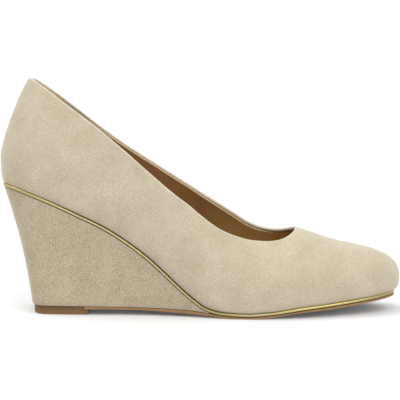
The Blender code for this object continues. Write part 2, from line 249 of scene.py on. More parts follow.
def ring(plan, heights):
    """Plan outline with a height at each point."""
    return np.column_stack((plan, np.broadcast_to(heights, len(plan))))


def model_points(points):
    """Table coordinates as metres in the model's frame."""
    return (np.asarray(points) - np.array((CENTRE, AXIS_OFFSET, 0.0))) * MM


def add_piece(name, points, faces, crease_angle, materials, face_materials=None, field=None):
    """Closed mesh in its place, with merged points, outward faces and an optional field value."""
    mesh = bpy.data.meshes.new(name)
    mesh.from_pydata([tuple(point) for point in points], [], [tuple(face) for face in faces])
    for material in materials:
        mesh.materials.append(material)
    if face_materials is not None:
        mesh.polygons.foreach_set("material_index", face_materials)
    if field is not None:
        mesh.attributes.new("field", "FLOAT", "POINT").data.foreach_set("value", field)
    work = bmesh.new()
    work.from_mesh(mesh)
    bmesh.ops.remove_doubles(work, verts=work.verts, dist=MERGE_DISTANCE)
    bmesh.ops.recalc_face_normals(work, faces=work.faces)
    work.to_mesh(mesh)
    work.free()
    mesh.shade_smooth()
    mesh.set_sharp_from_angle(angle=np.radians(crease_angle))
    piece = bpy.data.objects.new(name, mesh)
    bpy.context.scene.collection.objects.link(piece)
    return piece


def layered_piece(name, rings, material, crease_angle=40.0, fields=None):
    """Closed piece from rings of points, lowest first, whose two sides pair up from heel to toe."""
    count = len(rings[0])
    faces = []
    for level in range(len(rings) - 1):
        low, high = level * count, (level + 1) * count
        for i in range(count):
            j = (i + 1) % count
            faces.append((low + i, low + j, high + j, high + i))
    top = (len(rings) - 1) * count
    for i in range(count // 2 - 1):
        pair = (i, i + 1, count - 2 - i, count - 1 - i)
        faces.append(pair[::-1])
        faces.append(tuple(top + k for k in pair))
    field = None if fields is None else np.ravel(fields)
    return add_piece(name, model_points(np.vstack(rings)), faces, crease_angle, [material],
                     field=field)


def dress(piece, node=None):
    """Let a piece ride on the shoe and stand for a solid."""
    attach(piece, "root")
    if node:
        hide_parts(node)


def place(tree, kind, inputs=(), **settings):
    """Add a node. Each input takes a value, or the socket that feeds it."""
    node = tree.nodes.new(kind)
    for setting, value in settings.items():
        setattr(node, setting, value)
    for socket, value in dict(inputs).items():
        if isinstance(value, bpy.types.NodeSocket):
            tree.links.new(value, node.inputs[socket])
        else:
            node.inputs[socket].default_value = value
    return node


def mix(tree, share, first, second, blend="MIX"):
    """Colour between two others."""
    return place(tree, "ShaderNodeMix", {0: share, 6: first, 7: second},
                 data_type="RGBA", blend_type=blend).outputs[2]


def calculate(tree, operation, *values):
    """One step of arithmetic on numbers or sockets."""
    return place(tree, "ShaderNodeMath", dict(enumerate(values)), operation=operation).outputs[0]


def ramp(tree, value, start, end, low=0.0, high=1.0):
    """Number that goes from low to high while a value goes from start to end."""
    ends = {"From Min": start, "From Max": end, "To Min": low, "To Max": high}
    return place(tree, "ShaderNodeMapRange", {"Value": value, **ends}).outputs["Result"]


def on_object(tree):
    """Place of a point on the object, in metres."""
    return place(tree, "ShaderNodeTexCoord").outputs["Object"]


def noise(tree, scale, detail, **more):
    """Soft random pattern over the object, from 0 to 1."""
    values = {"Vector": on_object(tree), "Scale": scale, "Detail": detail, **more}
    return place(tree, "ShaderNodeTexNoise", values).outputs["Fac"]


def bump(tree, height, strength, distance):
    """Normal of a surface that a height pattern raises."""
    values = {"Height": height, "Strength": strength, "Distance": distance}
    return place(tree, "ShaderNodeBump", values).outputs["Normal"]


def along_shoe(tree, start, end, middle=None, most=1.0):
    """0 to most between two places along the shoe, or two distances from a middle, in metres."""
    along = place(tree, "ShaderNodeSeparateXYZ", {0: on_object(tree)}).outputs["X"]
    if middle is not None:
        along = calculate(tree, "ABSOLUTE", calculate(tree, "SUBTRACT", along, middle))
    return ramp(tree, along, start, end, high=most)


def tinted(tree, colour, share, first, second):
    """Colour times a tint that passes from the first to the second."""
    return mix(tree, 1.0, colour, mix(tree, share, first, second), "MULTIPLY")


def new_group(name, inputs, outputs):
    """Shader node group with named sockets, and what its inputs give."""
    tree = bpy.data.node_groups.new(name, "ShaderNodeTree")
    for socket, kind in inputs.items():
        tree.interface.new_socket(socket, in_out="INPUT", socket_type=kind)
    for socket, kind in outputs.items():
        tree.interface.new_socket(socket, in_out="OUTPUT", socket_type=kind)
    return tree, tree.nodes.new("NodeGroupInput").outputs


def new_material(name, **values):
    """Principled material with its plain values on the shader's own sockets."""
    material = bpy.data.materials.new(name)
    material.use_nodes = True
    shader = material.node_tree.nodes["Principled BSDF"]
    for socket, value in values.items():
        shader.inputs[socket.replace("_", " ")].default_value = value
    return material, material.node_tree, shader


def feed(tree, shader, sockets):
    """Link patterns to the shader's sockets."""
    for socket, value in sockets.items():
        tree.links.new(value, shader.inputs[socket])


def build_leather_grain():
    """Smooth leather: fine cells with pale tops, and slow changes of shade."""
    tree, given = new_group("leather_grain", {"Light": COLOUR, "Dark": COLOUR, "Grain": NUMBER},
                            {"Colour": COLOUR, "Height": NUMBER, "Roughness": NUMBER})
    cells = place(tree, "ShaderNodeTexVoronoi",
                  {"Vector": on_object(tree), "Scale": given["Grain"]}, feature="DISTANCE_TO_EDGE")
    raised = ramp(tree, cells.outputs["Distance"], 0.0, CELL_WALL)
    cloud = noise(tree, scale=55.0, detail=4.0)
    shade = calculate(tree, "MULTIPLY", cloud, CLOUD_SHARE)
    shade = calculate(tree, "MULTIPLY_ADD", raised, 1.0 - CLOUD_SHARE, shade)
    place(tree, "NodeGroupOutput", {"Colour": mix(tree, shade, given["Dark"], given["Light"]),
                                    "Height": raised,
                                    "Roughness": ramp(tree, cloud, 0.0, 1.0, low=0.62, high=0.42)})
    return tree


leather_grain = build_leather_grain()


def leather(name, light, dark, grain, heel=NO_TINT, toe=NO_TINT):
    """Brown smooth leather, tinted from the heel to the toes by painted shade and painted light, if
    tints are given.
    """
    material, tree, shader = new_material(name, Specular_IOR_Level=0.35)
    grained = place(tree, "ShaderNodeGroup", {"Light": light, "Dark": dark, "Grain": grain},
                    node_tree=leather_grain).outputs
    colour = tinted(tree, grained["Colour"], along_shoe(tree, *TINT_PLACES), heel, toe)
    feed(tree, shader, {"Base Color": colour, "Roughness": grained["Roughness"],
                        "Normal": bump(tree, grained["Height"], strength=0.25, distance=0.0001)})
    return material


def build_insole():
    """Board and sock in one. The sock's soft edge laps over the foot of the lining."""
    shares = np.concatenate((wedge_shares(), forefoot_shares()))
    plan = inset(both_sides(shares), INSOLE_INSET)
    station = plan[:, 0]
    reach = profile(OVERLAP, "reach")(station)
    rings = [ring(plan, above_joint(station, -PIPING_RADIUS))]
    for edge in SOCK_EDGE:
        outline = inset(plan, edge.inset - edge.overlap * reach)
        rings.append(ring(outline, above_joint(station, edge.height)))
    return layered_piece("insole_sock", rings,
                         leather("sock leather", SOCK_LIGHT, SOCK_DARK, grain=1100.0))


insole = build_insole()
dress(insole, "insole")

# Upper: one piece of beige suede pulled over the last, its top edge folded over a stay tape so that
# the rim is round. It is cut low over the toes and closed at the back, and its lower edge turns in
# above the piping.
UPPER_WALL = 1.8
RIM_DROP = UPPER_WALL / 2
FOIL_THICKNESS = 0.25
SEAM_HEIGHT = PIPING_RADIUS + FOIL_THICKNESS
THROAT_START = 158.0
THROAT = 177.0
THROAT_ROUNDNESS = {-1: 2.1, 1: 2.7}
THROAT_START_FOOT = 164.0
THROAT_FOOT = 192.0
QUARTER_COLUMNS = 76
THROAT_COLUMNS = 30
VAMP_COLUMNS = 20
SHELL_ROWS = 44
RIM_STEPS = 8
SHELL_CREASE = 60.0
SECTIONS = 500
WALL_STEPS = 60
OVER_STEPS = 240
CLIMBS = 260
GRID_MARGIN = 0.001
SAME_PLACE_DECIMALS = 4
FIBRE_SHARE = 0.35
NAP_RANGE = (-0.5, 1.5)
# Painted shade darkens the turned-in suede and the lining's cut edge round the heel.
HEEL_SHADE_TINT = (0.50, 0.55, 0.53, 1.0)
HEEL_SHADE_MIDDLE = -0.0745
HEEL_SHADE_REACH = (0.0185, 0.005)
UPPER_LIGHT = (0.730, 0.644, 0.509, 1.0)
UPPER_DARK = (0.366, 0.295, 0.184, 1.0)
# The turned-in suede is painted darker than the upper: painted shade under the rolled rim.
TURNED_SHADED_LIGHT = (0.480, 0.360, 0.205, 1.0)
TURNED_SHADED_DARK = (0.240, 0.175, 0.090, 1.0)
# The rim's suede is the upper's made lighter: a painted highlight along the rolled rim.
RIM_HIGHLIGHT_LIGHT = (0.860, 0.770, 0.630, 1.0)
RIM_HIGHLIGHT_DARK = (0.440, 0.365, 0.245, 1.0)

Crown = namedtuple("Crown", "station height inward")
CROWN = (
    Crown(0.0, 155.0, 0.0),
    Crown(30.0, 155.0, 0.0),
    Crown(45.0, 160.0, 0.0),
    Crown(75.0, 160.0, 0.5),
    Crown(110.0, 108.0, 3.0),
    Crown(130.0, 79.0, 5.0),
    Crown(142.0, 67.8, 5.0),
    Crown(150.0, 61.0, 4.8),
    Crown(158.0, 55.8, 4.5),
    Crown(176.0, 49.9, 4.5),
    Crown(187.0, 46.3, 4.5),
    Crown(198.0, 42.5, 4.5),
    Crown(209.0, 39.8, 4.5),
    Crown(220.0, 38.0, 4.5),
    Crown(240.0, 34.2, 4.5),
)

Wall = namedtuple("Wall", "station swell swell_height fullness seam_turn")
WALL = (
    Wall(2.6, 2.2, 16.0, 1.29, 0.42),
    Wall(21.0, 3.4, 14.5, 1.47, 0.42),
    Wall(40.0, 4.6, 18.5, 1.7, 0.46),
    Wall(75.0, 5.0, 20.0, 2.0, 0.52),
    Wall(115.0, 4.0, 16.5, 1.95, 0.42),
    Wall(145.0, 2.3, 11.5, 1.85, 0.35),
    Wall(176.0, 2.5, 10.5, 2.0, 0.35),
    Wall(200.0, 2.7, 8.5, 2.25, 0.35),
    Wall(220.0, 3.3, 7.0, 2.8, 0.35),
    Wall(237.0, 3.4, 5.6, 3.4, 0.35),
)

Topline = namedtuple("Topline", "station outer inner")
TOPLINE = (
    Topline(15.0, 138.9, 138.9),
    Topline(19.0, 138.4, 138.4),
    Topline(24.5, 135.8, 135.1),
    Topline(30.0, 132.2, 131.1),
    Topline(45.0, 121.6, 119.4),
    Topline(60.0, 110.5, 107.6),
    Topline(75.0, 98.1, 97.1),
    Topline(90.0, 84.9, 87.7),
    Topline(105.0, 72.2, 78.4),
    Topline(114.0, 65.4, 72.9),
    Topline(120.0, 60.4, 69.2),
    Topline(132.0, 51.8, 62.0),
    Topline(142.0, 47.7, 55.8),
    Topline(150.0, 45.6, 50.8),
    Topline(158.0, 44.8, 47.8),
    Topline(166.0, 44.6, 46.6),
)

crown = profile(CROWN)
ridge = profile(CROWN, "inward")
swell = profile(WALL, "swell")
swell_height = profile(WALL, "swell_height")
fullness = profile(WALL, "fullness")
seam_turn = profile(WALL, "seam_turn")
topline = {-1: profile(TOPLINE, "outer"), 1: profile(TOPLINE, "inner")}


def running_length(points):
    """Length along a line of points, as a share of the whole."""
    length = np.concatenate(([0.0], np.cumsum(np.linalg.norm(np.diff(points, axis=0), axis=1))))
    return length / length[-1]


def last_section(share, side):
    """Fine points up one section of the last: the wall swells, then closes over to the ridge."""
    foot = feather(share if side < 0 else 1.0 - share)
    station = foot[0]
    middle = np.clip(station, HEEL_CENTRE, TOE_CENTRE)
    centre = np.array((middle, ridge(middle)))
    reach = np.linalg.norm(foot - centre)
    direction = (foot - centre) / reach
    low = above_joint(station, SEAM_HEIGHT)
    rise = np.linspace(0.0, 1.0, WALL_STEPS, endpoint=False)
    bulge = swell(station) * (1.0 - (1.0 - rise) ** 2) ** seam_turn(station)
    wall = centre + np.outer(reach + bulge, direction)
    wall = np.column_stack((wall, low + swell_height(station) * rise))
    turn = np.linspace(0.0, np.pi / 2, OVER_STEPS)
    power = 2.0 / fullness(station)
    inwards = np.cos(turn).clip(0.0) ** power
    over = centre + np.outer((reach + swell(station)) * inwards, direction)
    over[-1] = centre
    widest = low + swell_height(station)
    over = np.column_stack((over, widest + (crown(over[:, 0]) - widest) * np.sin(turn) ** power))
    return np.vstack((wall, over))


def last_side(side):
    """One side of the last as a grid of points, evenly spaced up each section."""
    climbs = np.linspace(0.0, 1.0, CLIMBS)
    grid = []
    for share in np.linspace(0.0, 0.5, SECTIONS):
        section = last_section(share, side)
        length = running_length(section)
        grid.append(np.column_stack([np.interp(climbs, length, section[:, k]) for k in range(3)]))
    return np.array(grid)


LAST = {side: last_side(side) for side in (-1, 1)}


def on_last(side, share, climb):
    """Points of the last, at places on the feather loop and shares of the way up to the ridge."""
    grid = LAST[side]
    across = np.clip(share * 2 * (SECTIONS - 1), 0, SECTIONS - 1 - GRID_MARGIN)
    up = np.clip(climb * (CLIMBS - 1), 0, CLIMBS - 1 - GRID_MARGIN)
    i, j = across.astype(int), up.astype(int)
    a, b = (across - i)[:, None], (up - j)[:, None]
    return ((grid[i, j] * (1 - b) + grid[i, j + 1] * b) * (1 - a)
            + (grid[i + 1, j] * (1 - b) + grid[i + 1, j + 1] * b) * a)


def edge_height(side, station, drop):
    """Height of a line that runs at a distance below the topline, square to its slope."""
    line = topline[side]
    slope = line(station + 0.5) - line(station - 0.5)
    return line(station) - drop * np.sqrt(1.0 + slope ** 2)


def topline_half_width(side, station, drop):
    """Half width of the opening at a station, from the last's ridge to the topline."""
    section = last_section(share_at(station), side)
    edge = np.interp(edge_height(side, station, drop), section[:, 2], section[:, 1])
    return abs(edge - ridge(station))


def throat_half_width(side, station, drop):
    """Half width of the opening where it closes over the toes, running on from the topline."""
    width = topline_half_width(side, THROAT_START, drop)
    flare = width - topline_half_width(side, THROAT_START - 1.0, drop)
    along = station - THROAT_START
    turn = along / (THROAT + drop - THROAT_START)
    roundness = THROAT_ROUNDNESS[side]
    closing = (1.0 - turn ** roundness) ** (1.0 / roundness)
    return (width + flare * along * (1.0 - turn) ** 2) * closing


def opening_climb(station, side, drop):
    """How far up its section the skin reaches before the opening, as a share of the way."""
    if station >= THROAT + drop:
        return 1.0
    section = last_section(share_at(station), side)
    if station < THROAT_START:
        reached = section[:, 2] - edge_height(side, section[:, 0], drop)
    else:
        reached = throat_half_width(side, station, drop) - np.abs(section[:, 1] - ridge(station))
    above = int(np.argmax(reached > 0))
    length = running_length(section)[above - 1:above + 1]
    return np.interp(0.0, reached[above - 1:above + 1], length)


def shell_columns(drop):
    """Stations where the columns of a skin start on the feather line and end at its edge.

    Round the throat the columns lean back, so that they meet its curved edge evenly.
    """
    back = feather(fan(0.0, share_at(HEEL_CENTRE), HEEL_FAN_COLUMNS))[:, 0]
    quarter = np.linspace(HEEL_CENTRE, THROAT_START, QUARTER_COLUMNS, endpoint=False)
    lean = ((quarter - HEEL_CENTRE) / (THROAT_START - HEEL_CENTRE)) ** 3
    turn = np.linspace(0.0, 1.0, THROAT_COLUMNS, endpoint=False)
    vamp = np.linspace(0.0, 1.0, VAMP_COLUMNS, endpoint=False)
    front = feather(fan(share_at(TOE_CENTRE), 0.5, TOE_FAN_COLUMNS))[:, 0]
    throat = THROAT + drop
    starts = np.concatenate((back, quarter + (THROAT_START_FOOT - THROAT_START) * lean,
                             THROAT_START_FOOT + (THROAT_FOOT - THROAT_START_FOOT) * turn,
                             THROAT_FOOT + (TOE_CENTRE - THROAT_FOOT) * vamp, front))
    round_throat = THROAT_START + (throat - THROAT_START) * np.sin(turn * np.pi / 2)
    ends = np.concatenate((back, quarter, round_throat,
                           throat + (TOE_CENTRE - throat) * vamp, front))
    return starts, ends


def skin_points(drop):
    """Grid of points over the last, column by column round the shoe, from feather line to edge."""
    climb = np.linspace(0.0, 1.0, SHELL_ROWS + 1)
    columns = {-1: [], 1: []}
    for side in (-1, 1):
        for start, end in zip(*shell_columns(drop)):
            share = share_at(start + (end - start) * climb)
            columns[side].append(on_last(side, share, opening_climb(end, side, drop) * climb))
    return np.array(columns[-1] + columns[1][::-1])


def grid_faces(columns, rows):
    """Quads of a grid that closes on itself round the shoe."""
    i, row = np.meshgrid(np.arange(columns), np.arange(rows - 1), indexing="ij")
    low, next_low = i * rows + row, (i + 1) % columns * rows + row
    return np.stack((low, next_low, next_low + 1, low + 1), axis=-1).reshape(-1, 4)


def skin_normals(points, faces):
    """Outward direction at each point, shared by points that lie together."""
    _, same = np.unique(np.round(points, SAME_PLACE_DECIMALS), axis=0, return_inverse=True)
    same = same.ravel()
    corner = points[faces]
    across = np.cross(corner[:, 2] - corner[:, 0], corner[:, 3] - corner[:, 1])
    total = np.zeros((same.max() + 1, 3))
    for k in range(4):
        np.add.at(total, same[faces[:, k]], across)
    total /= np.linalg.norm(total, axis=1)[:, None]
    return total[same]


def build_shell(name, drop, outside, inside, materials):
    """Wall between two depths under the last's surface, with a round rim along the opening.

    The materials cover its outside, its inside and its rim, in this order.
    """
    skin = skin_points(drop)
    columns, rows = skin.shape[:2]
    points = skin.reshape(-1, 3)
    faces = grid_faces(columns, rows)
    normals = skin_normals(points, faces)
    outer, inner = points - normals * outside, points - normals * inside
    count = len(points)
    bottom = np.arange(columns) * rows
    after = np.roll(bottom, -1)
    hem = np.column_stack((bottom + count, after + count, after, bottom))
    open_columns = HEEL_FAN_COLUMNS + QUARTER_COLUMNS + THROAT_COLUMNS + 1
    loop = np.concatenate((np.arange(open_columns), np.arange(columns - open_columns + 1, columns)))
    tops = loop * rows + rows - 1
    along = np.roll(points[tops], -1, axis=0) - np.roll(points[tops], 1, axis=0)
    out = np.cross(normals[tops], along)
    out /= np.linalg.norm(out, axis=1)[:, None]
    radius = (inside - outside) / 2
    middle = points[tops] - normals[tops] * (outside + radius)
    turn = np.pi * np.arange(1, RIM_STEPS) / RIM_STEPS
    rim = (middle[:, None] + radius * (normals[tops][:, None] * np.cos(turn)[:, None]
                                       + out[:, None] * np.sin(turn)[:, None]))
    added = 2 * count + np.arange(len(tops) * (RIM_STEPS - 1)).reshape(len(tops), -1)
    index = np.column_stack((tops, added, tops + count))
    beside = np.roll(index, -1, axis=0)
    rim_faces = np.stack((index[:, :-1], beside[:, :-1], beside[:, 1:], index[:, 1:]), axis=-1)
    rim_faces = rim_faces.reshape(-1, 4)
    every = np.vstack((faces, faces[:, ::-1] + count, hem, rim_faces))
    kinds = np.repeat((0, 1, 0, 2), (len(faces), len(faces), len(hem), len(rim_faces)))
    return add_piece(name, model_points(np.vstack((outer, inner, rim.reshape(-1, 3)))), every,
                     SHELL_CREASE, materials, kinds)


def build_suede_nap():
    """Suede: short fibres in tufts, patches brushed lighter and darker, and a fine speckle."""
    tree, given = new_group("suede_nap",
                            {"Light": COLOUR, "Dark": COLOUR, "Patches": NUMBER, "Tufts": NUMBER,
                             "Coarseness": NUMBER},
                            {"Colour": COLOUR, "Height": NUMBER})
    fibre = noise(tree, scale=2100.0, detail=2.0, Roughness=0.6)
    tuft = noise(tree, scale=given["Tufts"], detail=2.0, Distortion=0.3)
    patch = noise(tree, scale=given["Patches"], detail=3.0, Distortion=0.4)
    nap = calculate(tree, "MULTIPLY", fibre, FIBRE_SHARE)
    nap = calculate(tree, "MULTIPLY_ADD", tuft, 1.0 - FIBRE_SHARE, nap)
    rough = calculate(tree, "SUBTRACT", nap, 0.5)
    rough = calculate(tree, "MULTIPLY_ADD", rough, given["Coarseness"], patch)
    colour = mix(tree, ramp(tree, rough, *NAP_RANGE), given["Dark"], given["Light"])
    place(tree, "NodeGroupOutput", {"Colour": colour, "Height": nap})
    return tree


suede_nap = build_suede_nap()


def shade_painted_at_heel(tree, colour, tint):
    """Colour darkened with painted shade, on a stretch round the heel."""
    share = along_shoe(tree, *HEEL_SHADE_REACH, middle=HEEL_SHADE_MIDDLE)
    return tinted(tree, colour, share, NO_TINT, tint)


def suede(name, light, dark, patches, tufts, coarseness, heel=NO_TINT):
    """Beige suede with a dry nap that lightens where it is seen edge on."""
    material, tree, shader = new_material(name, Roughness=0.95, Specular_IOR_Level=0.1,
                                          Sheen_Weight=0.8, Sheen_Roughness=0.35,
                                          Sheen_Tint=(0.95, 0.90, 0.80, 1.0))
    napped = place(tree, "ShaderNodeGroup", {"Light": light, "Dark": dark, "Patches": patches,
                                             "Tufts": tufts, "Coarseness": coarseness},
                   node_tree=suede_nap).outputs
    # Any heel tint given here is painted shade.
    feed(tree, shader, {"Base Color": shade_painted_at_heel(tree, napped["Colour"], heel),
                        "Normal": bump(tree, napped["Height"], strength=0.5, distance=0.0004)})
    return material


upper_suede = suede("upper suede", UPPER_LIGHT, UPPER_DARK, patches=70.0, tufts=1100.0,
                    coarseness=2.6)
shaded_turned_suede = suede("turned-in suede with painted shade", TURNED_SHADED_LIGHT, TURNED_SHADED_DARK, patches=70.0, tufts=1050.0,
                     coarseness=2.7, heel=HEEL_SHADE_TINT)
highlighted_rim_suede = suede("rim suede with painted highlight", RIM_HIGHLIGHT_LIGHT, RIM_HIGHLIGHT_DARK, patches=70.0, tufts=1050.0, coarseness=2.7)
upper = build_shell("suede_upper", RIM_DROP, 0.0, UPPER_WALL,
                    [upper_suede, shaded_turned_suede, highlighted_rim_suede])
dress(upper, "upper")

# Lining: thin brown leather glued inside the upper, cut back from the rim so that a band of folded
# suede shows above it. Its cut edge is left raw and pale.
LINING_DROP = 1.7
LINING_GLUE = 0.05
LINING_THICKNESS = 0.8
LINING_OUTSIDE = UPPER_WALL + LINING_GLUE
LINING_INSIDE = LINING_OUTSIDE + LINING_THICKNESS
LINING_LIGHT = (0.430, 0.227, 0.074, 1.0)
LINING_DARK = (0.342, 0.176, 0.054, 1.0)
# The lining is painted darker at the heel and lighter towards the toes: painted shade and painted
# light.
LINING_HEEL_PAINTED_SHADE = (0.60, 0.57, 0.52, 1.0)
LINING_TOE_PAINTED_LIGHT = (1.75, 1.95, 2.20, 1.0)
CUT_LIGHT = (0.80, 0.64, 0.42, 1.0)
CUT_DARK = (0.55, 0.40, 0.23, 1.0)
# The cut edge is darker brown round the throat.
CUT_AT_THROAT = (0.180, 0.095, 0.035, 1.0)
CUT_AT_THROAT_PLACES = (0.034, 0.046)


def cut_edge():
    """Raw pale fibres of the lining's cut edge, darker brown round the throat, with painted shade
    round the heel.
    """
    material, tree, shader = new_material("lining cut edge", Roughness=0.8, Specular_IOR_Level=0.2)
    colour = mix(tree, noise(tree, scale=900.0, detail=2.0), CUT_DARK, CUT_LIGHT)
    colour = mix(tree, along_shoe(tree, *CUT_AT_THROAT_PLACES), colour, CUT_AT_THROAT)
    feed(tree, shader, {"Base Color": shade_painted_at_heel(tree, colour, HEEL_SHADE_TINT)})
    return material


lining_leather = leather("lining leather", LINING_LIGHT, LINING_DARK, grain=1300.0,
                         heel=LINING_HEEL_PAINTED_SHADE, toe=LINING_TOE_PAINTED_LIGHT)
lining = build_shell("lining", LINING_DROP, LINING_OUTSIDE, LINING_INSIDE,
                     [lining_leather, lining_leather, cut_edge()])
dress(lining)

# Piping: a cord wrapped in gold foil leather, caught in the seam all round the shoe between the
# upper and the wedge or sole. Its outer face is painted bright as a highlight, and its sides
# carry painted shade where they go into the seam, painted lighter on top towards heel and toe.
PIPING_SIDE_POINTS = 220
PIPING_SIDES = 16
FOIL = (1.0, 0.90, 0.54, 1.0)
FOIL_AT_ENDS = (0.82, 0.70, 0.38, 1.0)
PAINTED_SIDE_SHADE = (0.175, 0.122, 0.015, 1.0)
PAINTED_SIDE_LIGHT = (0.690, 0.545, 0.205, 1.0)
FOIL_WORN = (0.480, 0.390, 0.215, 1.0)
UPPER_HALF = (0.1, -0.1)
OUTER_FACE = (0.89, 0.97)
WAIST_MIDDLE = -0.02
WAIST_REACH = (0.05, 0.08)
BALL_MIDDLE = 0.0265
BALL_REACH = (0.017, 0.005)
BALL_WEAR = 0.75


def gold_foil():
    """Soft gold foil, finely creased, with a painted highlight on its face and painted shade on its
    sides, and worn where the ball of the foot is.
    """
    material, tree, shader = new_material("gold foil", Metallic=1.0)
    around = place(tree, "ShaderNodeAttribute", attribute_name="around").outputs["Fac"]
    angle = calculate(tree, "MULTIPLY", around, 2 * np.pi)
    above = ramp(tree, calculate(tree, "SINE", angle), *UPPER_HALF)
    face = calculate(tree, "ABSOLUTE", calculate(tree, "COSINE", angle))
    ends = along_shoe(tree, *WAIST_REACH, middle=WAIST_MIDDLE)
    # The cord's sides take painted shade, painted lighter on their upper half towards heel and toe;
    # its outer face is a painted highlight.
    sides = mix(tree, calculate(tree, "MULTIPLY", ends, above), PAINTED_SIDE_SHADE, PAINTED_SIDE_LIGHT)
    front = mix(tree, ends, FOIL, FOIL_AT_ENDS)
    colour = mix(tree, ramp(tree, face, *OUTER_FACE), sides, front)
    worn = along_shoe(tree, *BALL_REACH, middle=BALL_MIDDLE, most=BALL_WEAR)
    crease = noise(tree, scale=900.0, detail=3.0)
    feed(tree, shader, {"Base Color": mix(tree, worn, colour, FOIL_WORN),
                        "Roughness": ramp(tree, crease, 0.0, 1.0, low=0.22, high=0.42),
                        "Normal": bump(tree, crease, strength=0.2, distance=0.0001)})
    return material


def build_cord_tree():
    """Round cord along lines of edges, with its place round the section kept on each point."""
    tree = bpy.data.node_groups.new("round_cord", "GeometryNodeTree")
    tree.interface.new_socket("Route", in_out="INPUT", socket_type="NodeSocketGeometry")
    tree.interface.new_socket("Radius", in_out="INPUT", socket_type="NodeSocketFloat")
    tree.interface.new_socket("Sides", in_out="INPUT", socket_type="NodeSocketInt")
    tree.interface.new_socket("Finish", in_out="INPUT", socket_type="NodeSocketMaterial")
    tree.interface.new_socket("Cord", in_out="OUTPUT", socket_type="NodeSocketGeometry")
    given = tree.nodes.new("NodeGroupInput").outputs
    route = place(tree, "GeometryNodeMeshToCurve", {"Mesh": given["Route"]})
    route = place(tree, "GeometryNodeSetCurveNormal", {"Curve": route.outputs["Curve"]},
                  mode="Z_UP")
    section = place(tree, "GeometryNodeCurvePrimitiveCircle", {"Resolution": given["Sides"],
                                                               "Radius": given["Radius"]})
    turn = place(tree, "GeometryNodeSplineParameter")
    section = place(tree, "GeometryNodeStoreNamedAttribute",
                    {"Geometry": section.outputs["Curve"], "Name": "around",
                     "Value": turn.outputs["Factor"]}, data_type="FLOAT", domain="POINT")
    cord = place(tree, "GeometryNodeCurveToMesh",
                 {"Curve": route.outputs["Curve"], "Profile Curve": section.outputs["Geometry"],
                  "Fill Caps": True})
    cord = place(tree, "GeometryNodeSetShadeSmooth", {"Geometry": cord.outputs["Mesh"]})
    cord = place(tree, "GeometryNodeRealizeInstances", {"Geometry": cord.outputs["Geometry"]})
    cord = place(tree, "GeometryNodeSetMaterial", {"Geometry": cord.outputs["Geometry"],
                                                   "Material": given["Finish"]})
    place(tree, "NodeGroupOutput", {"Cord": cord.outputs["Geometry"]})
    return tree


round_cord = build_cord_tree()


def build_cord(name, points, edges, radius, sides, finish):
    """Plain mesh of a round cord along edges between points."""
    mesh = bpy.data.meshes.new(name + "_route")
    mesh.from_pydata([tuple(point) for point in model_points(points)], edges, [])
    piece = bpy.data.objects.new(name, mesh)
    bpy.context.scene.collection.objects.link(piece)
    modifier = piece.modifiers.new("cord", "NODES")
    modifier.node_group = round_cord
    values = {"Radius": radius * MM, "Sides": sides, "Finish": finish}
    for socket in round_cord.interface.items_tree:
        if socket.in_out == "INPUT" and socket.name in values:
            modifier[socket.identifier] = values[socket.name]
    bpy.context.view_layer.update()
    finished = piece.evaluated_get(bpy.context.evaluated_depsgraph_get())
    made = bpy.data.meshes.new_from_object(finished)
    piece.modifiers.remove(modifier)
    piece.data = made
    return piece


def build_piping():
    """Cord along the feather line, all round."""
    plan = inset(both_sides(fan(0.0, 0.5, PIPING_SIDE_POINTS)), PIPING_INSET)
    count = len(plan)
    edges = [(i, (i + 1) % count) for i in range(count)]
    return build_cord("gold_piping", ring(plan, joint(plan[:, 0])), edges,
                      SEAM_HEIGHT, PIPING_SIDES, gold_foil())


piping = build_piping()
dress(piping, "piping")

# Wedge: a light core covered with the same suede, glued under the back of the shoe after lasting.
# Its back leans in and grows squarer towards the floor, and it runs out to nothing under the ball.
WEDGE_HOLLOW = 0.1
FOOT_BACK = 19.9
FOOT_CENTRE = 36.5
FOOT_SQUARENESS = 3.7
WEDGE_LEVELS = 26
WEDGE_ROUNDING = 0.4
WEDGE_CREASE = 60.0
# The wedge's suede is darker than the upper's: partly its nap, partly painted shade.
WEDGE_LIGHT = (0.660, 0.560, 0.422, 1.0)
WEDGE_DARK = (0.296, 0.233, 0.134, 1.0)
EDGE_TURN = 0.3
THIN_SHARE = 0.3

Narrowing = namedtuple("Narrowing", "station inset")
NARROWING = (
    Narrowing(36.5, 1.8),
    Narrowing(60.0, 1.8),
    Narrowing(90.0, 1.2),
    Narrowing(126.0, 0.0),
)

Underside = namedtuple("Underside", "station height")
WEDGE_FOOT = (
    Underside(17.0, 5.3),
    Underside(60.0, 5.0),
    Underside(110.0, 4.0),
    Underside(128.0, 2.6),
)

narrowing = profile(NARROWING, "inset")
wedge_foot = profile(WEDGE_FOOT)


def foot_half_width(side, station):
    """Half width of the wedge's foot at a station."""
    share = share_at(station)
    return np.abs(feather(share if side < 0 else 1.0 - share)[..., 1]) - narrowing(station)


def wedge_foot_side(side):
    """Plan of the wedge's foot on one side: a squarish back, then the feather line's own curve."""
    turn = fan(0.0, np.pi / 2, HEEL_FAN_COLUMNS)
    power = 2.0 / FOOT_SQUARENESS
    back = np.column_stack((FOOT_CENTRE - (FOOT_CENTRE - FOOT_BACK) * np.cos(turn) ** power,
                            foot_half_width(side, FOOT_CENTRE) * np.sin(turn) ** power))
    along = feather(wedge_shares()[HEEL_FAN_COLUMNS:])[:, 0]
    shift = ((WEDGE_TIP - along) / (WEDGE_TIP - HEEL_CENTRE)) ** 2
    along = along + (FOOT_CENTRE - HEEL_CENTRE) * shift
    foot = np.vstack((back, np.column_stack((along, foot_half_width(side, along)))))
    return foot * (1.0, side)


